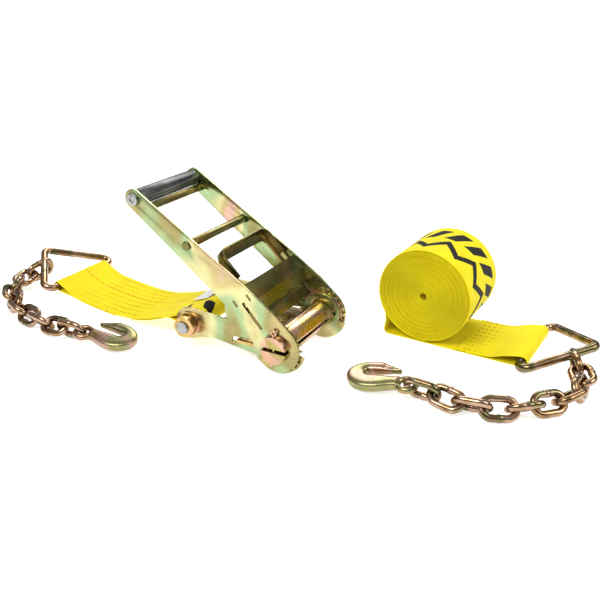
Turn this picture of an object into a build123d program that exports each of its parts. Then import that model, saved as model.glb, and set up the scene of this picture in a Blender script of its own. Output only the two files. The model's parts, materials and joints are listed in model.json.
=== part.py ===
from build123d import *
import math
import os

# Four-inch ratchet tie-down set with chain anchors: ratchet half and rolled long half.
# Every piece is built where it lies at rest.  Millimetres, +Z up, floor at Z = 0.

os.makedirs("parts", exist_ok=True)

# ---------------------------------------------------------------- driving dimensions
WEB_W = 101.6            # webbing width (4 in)
WEB_T = 1.7              # webbing thickness
CHAIN_R = 4.35           # chain wire radius (5/16 in chain)
CHAIN_PITCH = 29.0       # inside length of one link
CHAIN_INNER_W = 13.0     # inside width of one link
CHAIN_GAP = 0.35         # play left between two links
RING_R = 5.5             # rod radius of the delta rings
RING_HALF_BASE = 77.0    # half base of the ring's sharp triangle, on the rod centre
RING_HEIGHT = 80.0       # height of the same triangle
RING_BEND = 9.5          # bend radius of its corners, on the rod centre
RING_SHIFT = 3.5         # how far each ring has slid along its webbing fold
HOOK_T = 13.0            # thickness of the forged hooks

PLATE_T = 3.0            # side plates and ratchet wheels
FRAME_IN = 52.5          # frame plates, inner face to middle
WHEEL_IN = 55.9          # ratchet wheels, inner face to middle
HANDLE_IN = 59.3         # handle plates, inner face to middle
SPOOL_Z = 35.0           # spool axis above the floor
SPOOL_R = 17.0           # spool made of two half rounds
SPOOL_SLOT = 5.0         # gap between the halves, where the webbing threads through
SPOOL_HALF_L = 70.0      # half length of the spool
BORE_R = 17.1            # bores that turn on the spool
WHEEL_R = 33.0           # ratchet wheel, tooth tips
WHEEL_ROOT = 27.7        # ratchet wheel, tooth roots
TEETH = 24               # 15 degree teeth
CAM_R = 26.0             # frame plate edge the drive pawl passes over
BOLT_X = 129.0           # anchor bolt from the spool axis
BOLT_R = 8.0
SLEEVE_R = 11.0
HANDLE_L = 249.5         # spool axis to grip axis
HANDLE_ANGLE = 37.6      # handle above the frame, as it lies
PAWL_ANGLE = 10.4        # drive pawl slide direction above the handle line
PAWL_T = 3.6
PAWL_TIP = 28.1          # drive pawl tip from the spool axis, engaged
PAWL_TRAVEL = 7.5
LOOP_DROP = 3.4          # the pull loop is bent down from the pawl by this angle
LOCK_Z = -6.0            # lock pawl middle below the spool axis
LOCK_TIP = 28.6
LOCK_TRAVEL = 7.0

RATCHET_YAW = 150.84     # direction from spool to anchor bolt on the floor
RATCHET_AT = (1.7, -163.7)
FOLD_LEFT = (-333.0, 72.0)      # middle of the short strap's fold
FOLD_LEFT_Z = 11.5
LEFT_APEX_Z = 25.0
ROLL_YAW = 58.7          # direction of the roll's axis on the floor
ROLL_AT = (181.5, -89.4)
ROLL_R = 62.0
TAIL_L = 131.0           # roll middle to the fold round the right ring
RIGHT_APEX_Z = 17.4

LINKS = 10
# heading of each link on the floor, from the ring to the hook, then the hook itself
LEFT_HEADINGS = [229, 253, 270, 287, 301, 309, 318, 323, 331, 335, 347]
LEFT_ROLLS = [82, -14, 66, -28, 56, -38, 46, -50, 30, -70, 10]
RIGHT_HEADINGS = [265, 263, 237, 211, 197, 190, 178, 157, 143, 146, 151]
RIGHT_ROLLS = [-77, 16, -64, 34, -52, 40, -46, 50, -30, 70, 170]
HOOK_EYE_Z = 14.6        # height of the hook eye, the hook leaning on its bowl
HOOK_PITCH = -3.5
HOOK_EYE_R = 6.9
HOOK_GAP = 2.2           # play left between the last link and the hook eye
FLOOR_PLAY = 0.8         # how far above the floor the links are carried
LINK_RC = CHAIN_INNER_W / 2 + CHAIN_R          # bend radius of a link on its wire centre
LINK_H = CHAIN_PITCH / 2 + CHAIN_R - LINK_RC   # half length of its straight sides


def rad(degrees):
    return math.radians(degrees)


def floor_dir(heading, pitch=0.0):
    """Unit vector at a heading on the floor, lifted by pitch degrees."""
    c = math.cos(rad(pitch))
    return Vector(c * math.cos(rad(heading)), c * math.sin(rad(heading)), math.sin(rad(pitch)))


def ratchet_plane():
    """Ratchet frame: X from spool to bolt, Y to the near side, origin under the spool axis."""
    return Plane(origin=(RATCHET_AT[0], RATCHET_AT[1], 0), x_dir=floor_dir(RATCHET_YAW), z_dir=(0, 0, 1))


def ratchet(shape):
    """Move a shape drawn in the ratchet frame to where the ratchet lies."""
    return ratchet_plane().location * shape


def side_face(outline, y, thick):
    """Plate cut in the X-Z plane of the ratchet frame, from y towards larger y."""
    plane = Plane(origin=(0, y + thick, 0), x_dir=(1, 0, 0), z_dir=(0, -1, 0))
    return extrude(plane.location * outline, thick)


def polygon(points):
    return make_face(Polyline(*points, close=True))


def disc(x, z, r):
    return Pos(x, z, 0) * Circle(r)


def bar(p, q, half, y0, y1):
    """Flat bar whose section runs from p to q in the X-Z plane."""
    px, pz = p
    qx, qz = q
    length = math.hypot(qx - px, qz - pz)
    turn = math.degrees(math.atan2(qz - pz, qx - px))
    section = Pos((px + qx) / 2, (pz + qz) / 2, 0) * Rot(0, 0, turn) * Rectangle(length, 2 * half)
    return side_face(section, y0, y1 - y0)


def rod_y(x, z, r, y0, y1):
    return Pos(x, (y0 + y1) / 2, z) * Rot(90, 0, 0) * Cylinder(r, y1 - y0)


# ---------------------------------------------------------------- ratchet frame
def frame_plate(y):
    z = SPOOL_Z
    outline = disc(0, z, CAM_R) + disc(BOLT_X, z, 21)
    edge = [(24, 10), (31, 11.5), (44, 17), (52, 20.5), (58, 20.5), (64, 14.5), (73, 17), (89, 19.5),
            (BOLT_X, 21), (BOLT_X, -21), (111, -15.5), (96, -12), (42, -18), (20, -21.5), (6, -30)]
    outline += polygon([(0, z)] + [(px, z + pz) for px, pz in edge])
    cam = disc(0, z, SPOOL_Z)
    keep = polygon([(0, z), (-60, z - 14), (-60, z - 60), (8, z - 60), (8, z - 26)])
    outline += cam & keep
    outline -= disc(0, z, BORE_R)
    outline -= disc(BOLT_X, z, BOLT_R + 0.1)
    outline -= polygon([(26.6, z - 9.4), (66, z - 9.4), (66, z - 2.9), (26.6, z + 1.5)])
    return side_face(outline, y, PLATE_T)


def frame_tie():
    z = SPOOL_Z
    plate = Pos(79.5, 0, z + 2) * Box(3, 2 * FRAME_IN - 0.1, 20)
    flange = Pos(83.5, 0, z + 10.75) * Box(5, 2 * FRAME_IN - 0.1, 2.5)
    return plate + flange


def anchor_bolt():
    z = SPOOL_Z
    shank = rod_y(BOLT_X, z, BOLT_R, -58.0, 73.0)
    head = Pos(BOLT_X, -62.5, z) * Rot(90, 0, 0) * extrude(RegularPolygon(15.0, 6), 4.5, both=True)
    washer = rod_y(BOLT_X, z, 14.0, -58.0, -55.6)
    return shank + head + washer


def anchor_nut():
    z = SPOOL_Z
    nut = Pos(BOLT_X, 65.0, z) * Rot(90, 12, 0) * extrude(RegularPolygon(15.0, 6), 6.3, both=True)
    nut &= Pos(BOLT_X, 65.0, z) * Rot(90, 0, 0) * chamfer(Cylinder(15.0, 12.6).edges(), 1.6)
    washer = rod_y(BOLT_X, z, 16.0, 55.6, 58.4)
    return (nut + washer) - rod_y(BOLT_X, z, BOLT_R + 0.05, 50, 75)


def anchor_sleeve():
    tube = rod_y(BOLT_X, SPOOL_Z, SLEEVE_R, -52.2, 52.2)
    return tube - rod_y(BOLT_X, SPOOL_Z, BOLT_R + 0.2, -53, 53)


# ---------------------------------------------------------------- spool and ratchet wheels
def spool_half(sign):
    round_bar = rod_y(0, SPOOL_Z, SPOOL_R, -SPOOL_HALF_L, SPOOL_HALF_L)
    cut = Pos(0, 0, SPOOL_Z - sign * (50 - SPOOL_SLOT / 2)) * Box(100, 200, 100)
    half = round_bar - cut
    for y in (-66.5, 66.5):
        half -= Pos(0, y, SPOOL_Z) * Cylinder(2.0, 60)
    return half


def cotter(y):
    pin = Pos(0, y, SPOOL_Z) * Cylinder(1.7, 38)
    eye = Pos(0, y, SPOOL_Z + 21.5) * Rot(90, 0, 0) * Torus(3.0, 1.3)
    legs = Pos(2.4, y, SPOOL_Z - 20) * Rot(0, -50, 0) * Cylinder(1.2, 9)
    return pin + eye + legs


def ratchet_wheel(y):
    wheel = Circle(WHEEL_R)
    gap = [(WHEEL_ROOT, -2.5), (WHEEL_R + 2, -2.8), (WHEEL_R + 2, 5.0), (WHEEL_ROOT, 2.6)]
    for k in range(TEETH):
        wheel -= Rot(0, 0, k * 360 / TEETH - 12.0) * polygon(gap)
    wheel -= Circle(SPOOL_R + 0.1)
    return side_face(Pos(0, SPOOL_Z, 0) * wheel, y, PLATE_T)


# ---------------------------------------------------------------- handle, drawn along +X from the spool
def pawl_frame(shape):
    """Drawn along the drive pawl's slide line, moved into the handle drawing."""
    return Rot(0, -PAWL_ANGLE, 0) * shape


def lifted(shape):
    """Handle drawing, pivot at the origin, turned to its resting angle on the spool axis."""
    return ratchet(Pos(0, 0, SPOOL_Z) * Rot(0, -HANDLE_ANGLE, 0) * shape)


def handle_plate(y):
    outline = disc(0, 0, 31) + disc(HANDLE_L, 0, 12.5)
    outline += polygon([(250, 12.5), (159, 21.5), (78, 29.5), (32, 32.5), (0, 31), (0, -20), (22, -18.5),
                        (45, -16), (59, -24), (71, -20.5), (81, -9.5), (248, -12.4)])
    outline -= Circle(BORE_R)
    outline -= disc(HANDLE_L, 0, 5.1)
    outline -= disc(161, 9.7, 4.6)
    turn = Rot(0, 0, PAWL_ANGLE)
    outline -= turn * Pos(46.6, 0, 0) * Rectangle(38, PAWL_T + 0.8)
    outline -= turn * Pos(70, -10.25, 0) * Rectangle(9.0, 3.3)
    outline -= Rot(0, 0, 14.7) * Pos(67.1, 6.6, 0) * Rectangle(9.0, 3.3)
    return side_face(outline, y, PLATE_T)


def grip_tube():
    tube = rod_y(HANDLE_L, 0, 10.5, -59.1, 59.1)
    return tube - rod_y(HANDLE_L, 0, 5.4, -60, 60)


def grip_rod():
    rod = rod_y(HANDLE_L, 0, 5.0, -65, 65)
    for y in (-1, 1):
        rod += rod_y(HANDLE_L, 0, 8.0, min(y * 62.4, y * 65.4), max(y * 62.4, y * 65.4))
        rod -= rod_y(HANDLE_L, 0, 3.2, min(y * 63.4, y * 66), max(y * 63.4, y * 66))
    return rod


def grip_bar():
    return bar((229, -4.5), (238.5, -2.5), 1.5, -59.2, 59.2)


def brace_rod():
    rod = rod_y(161, 9.7, 5.5, -59.2, 59.2) + rod_y(161, 9.7, 4.5, -62.4, 62.4)
    for y in (-1, 1):
        rod += rod_y(161, 9.7, 5.4, min(y * 62.4, y * 64.2), max(y * 62.4, y * 64.2))
    return rod


def handle_cross_plate():
    plate = bar((78, 27.4), (57, 21.9), 1.25, -59.2, 59.2) + bar((57.3, 22), (43.5, 14.6), 1.25, -59.2, 59.2)
    tab = Rot(0, -14.7, 0) * Pos(67.1, 0, 6.6) * Box(8.4, 2 * HANDLE_IN + 2 * PLATE_T, 2.5)
    return plate + tab


def spring_seat():
    flange = Pos(69.5, 0, -10.25) * Box(10.5, 118.4, 2.5)
    tabs = Pos(70, 0, -10.25) * Box(8.4, 2 * HANDLE_IN + 2 * PLATE_T, 2.5)
    web = Pos(73.5, 0, -2) * Box(2.5, 66, 16)
    return pawl_frame(flange + tabs + web)


def drive_pawl():
    plate = Pos((PAWL_TIP + 52) / 2, 0, 0) * Box(52 - PAWL_TIP, 2 * HANDLE_IN + 2 * PLATE_T - 0.2, PAWL_T)
    return pawl_frame(plate)


def pull_loop():
    outline = Rectangle(92, 104)
    outline = fillet(outline.vertices().sort_by(Axis.X)[-2:], 13)
    window = Pos(-10.5, 0, 0) * Rectangle(87, 90)
    window = fillet(window.vertices().sort_by(Axis.X)[-2:], 8)
    inside = Pos(-2.5, 0, 0) * Rectangle(92, 99)
    inside = fillet(inside.vertices().sort_by(Axis.X)[-2:], 10.5)
    rim = (outline - inside) & (Pos(30, 0, 0) * Rectangle(48, 110))
    loop = Pos(34, 0, 0) * (extrude(outline - window, 2.5) + extrude(rim, 12.0))
    loop = Rot(0, LOOP_DROP, 0) * loop
    pad = Pos(-7, 0, 1.25) * Box(10, 104, 2.5)
    return pawl_frame(Pos(52, 0, PAWL_T / 2) * (loop + pad))


def coil(radius, wire, length, turns):
    path = Helix(pitch=(length - 2 * wire) / turns, height=length - 2 * wire, radius=radius)
    section = Plane(origin=path @ 0, z_dir=path % 0) * Circle(wire)
    return Pos(0, 0, wire) * sweep(section, path=path)


def drive_spring(y):
    return pawl_frame(Pos(52.1, y, 0) * Rot(0, 90, 0) * coil(3.2, 0.7, 20.0, 6))


def lock_pawl():
    plate = Pos((LOCK_TIP + 57.5) / 2, 0, 0) * Box(57.5 - LOCK_TIP, 2 * (WHEEL_IN + PLATE_T) - 0.3, 4.0)
    return Pos(0, 0, SPOOL_Z + LOCK_Z) * plate


def lock_spring(y):
    return Pos(57.6, y, SPOOL_Z + LOCK_Z) * Rot(0, 90, 0) * coil(3.0, 0.7, 20.2, 6)


# ---------------------------------------------------------------- rings, links and hooks
def delta_ring():
    """Base bar on the Y axis through the origin, point of the triangle on +X."""
    path = FilletPolyline((0, RING_HALF_BASE, 0), (RING_HEIGHT, 0, 0), (0, -RING_HALF_BASE, 0),
                          radius=RING_BEND, close=True)
    section = Plane(origin=path @ 0, z_dir=path % 0) * Circle(RING_R)
    return sweep(section, path=path)


def chain_link():
    """Long axis X, width Y, centre at the origin."""
    link = None
    for sign in (-1, 1):
        half_ring = Torus(LINK_RC, CHAIN_R, major_angle=180, align=None)
        bend = Pos(sign * LINK_H, 0, 0) * Rot(0, 0, -90 * sign) * half_ring
        side = Pos(0, sign * LINK_RC, 0) * Rot(0, 90, 0) * Cylinder(CHAIN_R, 2 * LINK_H)
        link = bend + side if link is None else link + bend + side
    return link


def grab_hook():
    """Eye centre at the origin, body along +X, tip on the +Y side, lying in the X-Y plane."""
    outer = Spline((10.5, 8.5), (20, 5.5), (34, 3.5), (47, 0.5), tangents=((1, -0.35), (1, -0.3)))
    saddle = Spline((47, 0.5), (52.6, 4.2), (49, 9.8), tangents=((1, -0.3), (-1, 0.28)))
    tip_in = Line((49, 9.8), (15, 18.2))
    tip = Spline((15, 18.2), (12.8, 20.4), (15, 22.4), tangents=((-1, 0.28), (1, 0.1)))
    back = Spline((15, 22.4), (36, 27), (56, 22.5), (69, 12), (73, 0), (68, -13), (54, -21), (36, -20),
                  (20, -12.5), (10.5, -8.5), tangents=((1, 0.12), (-1, 0.4)))
    close_line = Line((10.5, -8.5), (10.5, 8.5))
    face = make_face(Wire([outer, saddle, tip_in, tip, back, close_line]))
    body = extrude(face, HOOK_T / 2, both=True)
    slim = extrude(Pos(20, 0, 0) * Rectangle(200, 200), 5.0, both=True)
    taper = Pos(20, 24, 0) * Box(30, 16, 40)
    thin_tip = body & taper
    body = (body - taper) + (thin_tip & slim)
    eye = Cylinder(14.2, 9.4) - Cylinder(HOOK_EYE_R, 20)
    eye = fillet(eye.edges().filter_by(GeomType.CIRCLE), 2.6)
    return body + eye


def link_axes(heading, pitch, roll):
    """Long, width and normal directions of a link."""
    d = floor_dir(heading, pitch)
    level = Vector(-math.sin(rad(heading)), math.cos(rad(heading)), 0)
    upright = d.cross(level)
    w = level * math.cos(rad(roll)) + upright * math.sin(rad(roll))
    return d, w, d.cross(w)


def resting_height(roll):
    """Height of the middle of a level link that lies on the floor at this roll."""
    return LINK_RC * abs(math.sin(rad(roll))) + CHAIN_R


def centre_from(hinge, across, d, wrap):
    """Centre of a link hung on a round bar at hinge; across is the bar's own direction."""
    flat = (d - across * d.dot(across)).normalized()
    rear = hinge - flat * (wrap + CHAIN_R + CHAIN_GAP)
    return rear + d * (CHAIN_PITCH / 2 + CHAIN_R)


def pitch_to(height, hinge, across, heading, wrap):
    """Pitch that puts a link's front bend at the given height."""
    low, high = -50.0, 50.0
    for _ in range(40):
        pitch = (low + high) / 2
        d = floor_dir(heading, pitch)
        front = centre_from(hinge, across, d, wrap) + d * (CHAIN_PITCH / 2 + CHAIN_R)
        low, high = (pitch, high) if front.Z < height else (low, pitch)
    return pitch


def run_chain(start, bar_dir, headings, rolls):
    """Frames of the links and the hook, and the hinge each one swings on."""
    hinge, across, wrap = start, bar_dir, RING_R
    frames, hinges = [], []
    for k in range(LINKS):
        height = HOOK_EYE_Z
        if k < LINKS - 1:
            height = FLOOR_PLAY + max(resting_height(rolls[k]), resting_height(rolls[k + 1]))
        d, w, n = link_axes(headings[k], pitch_to(height, hinge, across, headings[k], wrap), rolls[k])
        centre = centre_from(hinge, across, d, wrap)
        frames.append(Plane(origin=centre, x_dir=d, z_dir=n))
        hinges.append((hinge, across))
        hinge, across, wrap = centre + d * (CHAIN_PITCH / 2 + CHAIN_R), w, CHAIN_R
    d, w, n = link_axes(headings[LINKS], HOOK_PITCH, rolls[LINKS])
    flat = (d - across * d.dot(across)).normalized()
    frames.append(Plane(origin=hinge + flat * (HOOK_EYE_R - CHAIN_R - HOOK_GAP), x_dir=d, z_dir=n))
    hinges.append((hinge, across))
    return frames, hinges


# ---------------------------------------------------------------- where the two halves lie
NEAR = floor_dir(RATCHET_YAW + 90)                 # ratchet width direction, to the near side
LEFT_RING_TILT = math.degrees(math.asin((LEFT_APEX_Z - FOLD_LEFT_Z) / 75.2))
LEFT_RING = Plane(origin=Vector(FOLD_LEFT[0], FOLD_LEFT[1], FOLD_LEFT_Z) + NEAR * RING_SHIFT,
                  x_dir=floor_dir(RATCHET_YAW, LEFT_RING_TILT),
                  z_dir=floor_dir(RATCHET_YAW, LEFT_RING_TILT + 90))
AXIS_R = floor_dir(ROLL_YAW)                       # roll axis, away from the viewer
RUN_R = floor_dir(ROLL_YAW - 90)                   # tail direction on the floor
FOLD_RIGHT_Z = WEB_T + 0.4 + RING_R
FOLD_RIGHT = Vector(ROLL_AT[0], ROLL_AT[1], FOLD_RIGHT_Z) + RUN_R * TAIL_L
RIGHT_RING_TILT = math.degrees(math.asin((RIGHT_APEX_Z - FOLD_RIGHT_Z) / 75.2))
RIGHT_RING = Plane(origin=FOLD_RIGHT - AXIS_R * RING_SHIFT,
                   x_dir=floor_dir(ROLL_YAW - 90, RIGHT_RING_TILT),
                   z_dir=floor_dir(ROLL_YAW - 90, RIGHT_RING_TILT + 90))


def ring_point(plane, along, side):
    """Point on a ring's leg, measured from the sharp point, and the rod direction there."""
    leg = Vector(-RING_HEIGHT, side * RING_HALF_BASE, 0).normalized()
    spot = Vector(RING_HEIGHT, 0, 0) + leg * along
    start = plane.from_local_coords(spot)
    return start, (plane.from_local_coords(spot + leg) - start).normalized()


LEFT_START, LEFT_BAR = ring_point(LEFT_RING, 27.0, 1)
RIGHT_START, RIGHT_BAR = ring_point(RIGHT_RING, 30.0, -1)
LEFT_FRAMES, LEFT_HINGES = run_chain(LEFT_START, LEFT_BAR, LEFT_HEADINGS, LEFT_ROLLS)
RIGHT_FRAMES, RIGHT_HINGES = run_chain(RIGHT_START, RIGHT_BAR, RIGHT_HEADINGS, RIGHT_ROLLS)


# ---------------------------------------------------------------- webbing
def band(points, half):
    """Outline of a band of the given half thickness along a line of points."""
    shape = None
    for (px, pz), (qx, qz) in zip(points, points[1:]):
        length = math.hypot(qx - px, qz - pz)
        turn = math.degrees(math.atan2(qz - pz, qx - px))
        piece = Pos((px + qx) / 2, (pz + qz) / 2, 0) * Rot(0, 0, turn) * Rectangle(length, 2 * half)
        shape = piece if shape is None else shape + piece
        shape += disc(qx, qz, half)
    return shape


def short_strap():
    """Loop on the anchor sleeve, doubled band down to the floor, fold round the left ring."""
    plane = Plane(origin=(RATCHET_AT[0], RATCHET_AT[1], 0), x_dir=floor_dir(RATCHET_YAW),
                  z_dir=floor_dir(RATCHET_YAW + 90) * -1)
    half = WEB_W / 2
    loop = disc(BOLT_X, SPOOL_Z, SLEEVE_R + 0.4 + 2 * WEB_T)
    loop += polygon([(BOLT_X, SPOOL_Z + 14), (BOLT_X + 36, SPOOL_Z + 0.5), (BOLT_X + 34, SPOOL_Z - 4.0),
                     (BOLT_X, SPOOL_Z - 14)])
    loop -= disc(BOLT_X, SPOOL_Z, SLEEVE_R + 0.4)
    start = extrude(plane.location * loop, half, both=True)
    base = Vector(RATCHET_AT[0], RATCHET_AT[1], 0) + floor_dir(RATCHET_YAW) * (BOLT_X + 35)
    fold = Vector(FOLD_LEFT[0], FOLD_LEFT[1], 0)
    run = fold - base
    reach = run.length
    down = run.normalized()
    side = Plane(origin=base, x_dir=down, z_dir=down.cross(Vector(0, 0, 1)))
    z0 = SPOOL_Z - 2.0
    line = [(0, z0), (40, 18), (80, 7), (120, 2.4), (reach - 70, 2.4), (reach - 26, 6.5)]
    profile = band(line, WEB_T + 0.3)
    profile += polygon([(reach - 34, 3.5), (reach, FOLD_LEFT_Z - 7.6), (reach, FOLD_LEFT_Z + 7.6),
                        (reach - 34, 9.0)])
    profile += disc(reach, FOLD_LEFT_Z, RING_R + 0.4 + WEB_T)
    profile -= disc(reach, FOLD_LEFT_Z, RING_R + 0.4)
    face = side.location * profile
    face = face.moved(Location(NEAR * (-half)))
    return start + extrude(face, WEB_W, dir=NEAR)


def strap_label():
    plane = Plane(origin=(RATCHET_AT[0], RATCHET_AT[1], 0), x_dir=floor_dir(RATCHET_YAW),
                  z_dir=(0, 0, 1))
    slope = math.degrees(math.atan2(-13.5, 36.0))
    tag = Rot(0, -slope, 0) * Box(20, 44, 0.5)
    return plane.location * Pos(BOLT_X + 24, -22, SPOOL_Z + 5.6) * tag


def roll_profile(outline):
    side = Plane(origin=(ROLL_AT[0], ROLL_AT[1], 0), x_dir=RUN_R, z_dir=AXIS_R * -1)
    face = side.location * outline
    return extrude(face, WEB_W / 2, both=True)


def strap_roll():
    z = 2 * WEB_T * 0.6 + ROLL_R
    return roll_profile(disc(0, z, ROLL_R))


def strap_tail():
    half = WEB_T / 2
    outline = band([(-66.5, 40), (-55, half + 0.1), (TAIL_L - 110, half)], half)
    outline += polygon([(TAIL_L - 110, 0), (TAIL_L, 0), (TAIL_L, FOLD_RIGHT_Z * 2), (TAIL_L - 34, 3.6),
                        (TAIL_L - 110, 3.4)])
    outline += disc(TAIL_L, FOLD_RIGHT_Z, RING_R + 0.4 + WEB_T)
    outline -= disc(TAIL_L, FOLD_RIGHT_Z, RING_R + 0.4)
    return roll_profile(outline)


# ---------------------------------------------------------------- the set
def all_pieces():
    far = -FRAME_IN - PLATE_T
    pieces = {
        "frame_plate_near": ratchet(frame_plate(FRAME_IN)),
        "frame_plate_far": ratchet(frame_plate(far)),
        "frame_tie_plate": ratchet(frame_tie()),
        "anchor_bolt": ratchet(anchor_bolt()),
        "anchor_nut_and_washer": ratchet(anchor_nut()),
        "anchor_sleeve": ratchet(anchor_sleeve()),
        "spool_half_upper": ratchet(spool_half(1)),
        "spool_half_lower": ratchet(spool_half(-1)),
        "ratchet_wheel_near": ratchet(ratchet_wheel(WHEEL_IN)),
        "ratchet_wheel_far": ratchet(ratchet_wheel(-WHEEL_IN - PLATE_T)),
        "cotter_pin_near": ratchet(cotter(66.5)),
        "cotter_pin_far": ratchet(cotter(-66.5)),
        "lock_pawl": ratchet(lock_pawl()),
        "lock_spring_near": ratchet(lock_spring(30)),
        "lock_spring_far": ratchet(lock_spring(-30)),
        "handle_plate_near": lifted(handle_plate(HANDLE_IN)),
        "handle_plate_far": lifted(handle_plate(-HANDLE_IN - PLATE_T)),
        "grip_tube": lifted(grip_tube()),
        "grip_rod": lifted(grip_rod()),
        "grip_bar": lifted(grip_bar()),
        "brace_rod": lifted(brace_rod()),
        "handle_cross_plate": lifted(handle_cross_plate()),
        "spring_seat": lifted(spring_seat()),
        "drive_pawl": lifted(drive_pawl()),
        "pull_loop": lifted(pull_loop()),
        "drive_spring_near": lifted(drive_spring(24)),
        "drive_spring_far": lifted(drive_spring(-24)),
        "short_strap": short_strap(),
        "strap_label": strap_label(),
        "strap_roll": strap_roll(),
        "strap_tail": strap_tail(),
        "ring_left": LEFT_RING.location * delta_ring(),
        "ring_right": RIGHT_RING.location * delta_ring(),
    }
    link, hook = chain_link(), grab_hook()
    for side, frames in (("left", LEFT_FRAMES), ("right", RIGHT_FRAMES)):
        for k, frame in enumerate(frames[:-1]):
            pieces[f"link_{side}_{k + 1:02d}"] = frame.location * link
        pieces[f"hook_{side}"] = frames[-1].location * hook
    return pieces


PIECES = all_pieces()
WHOLE = Compound(children=[Compound(p.solids()) for p in PIECES.values()]).bounding_box()
SHIFT = Vector(-WHOLE.center().X, -WHOLE.center().Y, -WHOLE.min.Z)
for name, piece in PIECES.items():
    export_step(Compound(piece.solids()).moved(Location(SHIFT)), f"parts/{name}.step")
print("pieces", len(PIECES), "shift", SHIFT, "size", WHOLE.size)
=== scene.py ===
import json
import math
import random

import bmesh
import bpy
import numpy as np
from mathutils import Matrix, Vector, kdtree, noise

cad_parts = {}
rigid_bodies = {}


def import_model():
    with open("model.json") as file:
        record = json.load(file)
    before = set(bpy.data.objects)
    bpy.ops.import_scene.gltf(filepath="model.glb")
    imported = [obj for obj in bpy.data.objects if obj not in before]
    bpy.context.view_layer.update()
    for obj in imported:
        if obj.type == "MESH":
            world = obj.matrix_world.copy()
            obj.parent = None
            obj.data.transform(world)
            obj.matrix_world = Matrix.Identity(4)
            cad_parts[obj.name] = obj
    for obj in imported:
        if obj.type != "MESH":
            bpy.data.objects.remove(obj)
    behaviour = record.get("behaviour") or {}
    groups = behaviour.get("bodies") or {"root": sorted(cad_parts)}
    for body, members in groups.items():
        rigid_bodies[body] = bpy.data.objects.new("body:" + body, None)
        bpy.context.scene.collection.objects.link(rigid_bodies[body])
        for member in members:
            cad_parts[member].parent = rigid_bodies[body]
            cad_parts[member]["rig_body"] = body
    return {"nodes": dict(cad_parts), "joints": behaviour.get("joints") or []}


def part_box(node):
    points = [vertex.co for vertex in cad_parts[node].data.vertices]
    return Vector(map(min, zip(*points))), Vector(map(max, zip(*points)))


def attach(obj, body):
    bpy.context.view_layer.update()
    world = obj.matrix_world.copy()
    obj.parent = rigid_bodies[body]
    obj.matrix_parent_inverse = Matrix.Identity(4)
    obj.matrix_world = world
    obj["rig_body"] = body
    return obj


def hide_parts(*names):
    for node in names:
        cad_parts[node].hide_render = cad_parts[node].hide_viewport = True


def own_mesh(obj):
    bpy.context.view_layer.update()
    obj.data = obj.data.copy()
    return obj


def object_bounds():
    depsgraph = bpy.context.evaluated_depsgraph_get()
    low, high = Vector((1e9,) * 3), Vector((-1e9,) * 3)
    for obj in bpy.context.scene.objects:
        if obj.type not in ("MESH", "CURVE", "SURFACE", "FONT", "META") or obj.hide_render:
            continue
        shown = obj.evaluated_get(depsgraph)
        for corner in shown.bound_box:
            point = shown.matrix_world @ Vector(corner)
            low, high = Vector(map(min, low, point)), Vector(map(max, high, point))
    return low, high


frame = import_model()
CAD_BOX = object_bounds()
random.seed(11)

# ---------------------------------------------------------------- sizes, in metres
WEB_W = 0.1016           # webbing width
WEB_T = 0.0016           # webbing thickness
YARN_T = WEB_T * 0.86    # drawn thickness, which leaves a little air between two layers
ROWS_ACROSS = 16         # even steps across the webbing, between its thin edges
WIRE_R = 0.00435         # chain wire radius
LINK_PITCH = 0.029       # inside length of a link
LINK_INNER_W = 0.013     # inside width of a link
RING_R = 0.0055          # rod radius of the delta rings
RING_HALF_BASE = 0.077
RING_HEIGHT = 0.080
RING_BEND = 0.0095
SLEEVE_R = 0.011         # sleeve on the anchor bolt
STRAIGHT = 0.035         # how far the short strap runs square to the bolt
ROLL_LAYERS = 39         # turns in the rolled strap
ROLL_START_R = 0.0045    # radius of the hole in the middle of the roll
ROLL_TURN_STEPS = 64
ROLL_LEAVES_AT = 0.60    # part of a turn at which the outer layer leaves the roll
STRIP_STEP = 0.0022      # length of one step along a strap outside the roll
HAIR = 0.0001            # least clearance between webbing and what it lies on
PLAY = 0.0004            # play left in the roll, in the folds round the rings and under the sewn end
SLEEVE_PLAY = 0.0006     # play between the sleeve and the short strap round it
STITCH_STEP = 0.0012     # spacing of the points that a row of stitches follows
UP = Vector((0, 0, 1))

NODES = frame["nodes"]
JOINTS = {j["name"]: j for j in frame["joints"]}


# ---------------------------------------------------------------- places read from the frame
def joint_place(name):
    return Vector(JOINTS[name]["pos_m"])


def joint_axis(name):
    return Vector(JOINTS[name]["axis"]).normalized()


SPOOL = joint_place("spool_turn")
BOLT = joint_place("short_strap_swing")
NEAR = joint_axis("spool_turn")                     # across the ratchet, towards the viewer
FLOOR_Z = CAD_BOX[0].z


def level(v):
    return Vector((v.x, v.y, 0)).normalized()


TO_BOLT = level(BOLT - SPOOL)
FOLD_LEFT = joint_place("ring_left_swing")
FOLD_RIGHT = joint_place("ring_right_swing")
ROLL_LOW, ROLL_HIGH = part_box("strap_roll")
ROLL_MID = (ROLL_LOW + ROLL_HIGH) / 2
ROLL_R = (ROLL_HIGH.z - ROLL_LOW.z) / 2
AWAY = joint_axis("ring_right_swing")
AWAY = AWAY if AWAY.y > 0 else -AWAY                # along the roll's axis, away from the viewer
RUN = AWAY.cross(UP).normalized()                   # along the tail, from the roll to the ring


# ---------------------------------------------------------------- materials
def colour(r, g, b):
    """Display colour, 0 to 255, as the linear value a shader takes."""
    def one(c):
        c /= 255
        return c / 12.92 if c <= 0.04045 else ((c + 0.055) / 1.055) ** 2.4
    return (one(r), one(g), one(b), 1.0)


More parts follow.
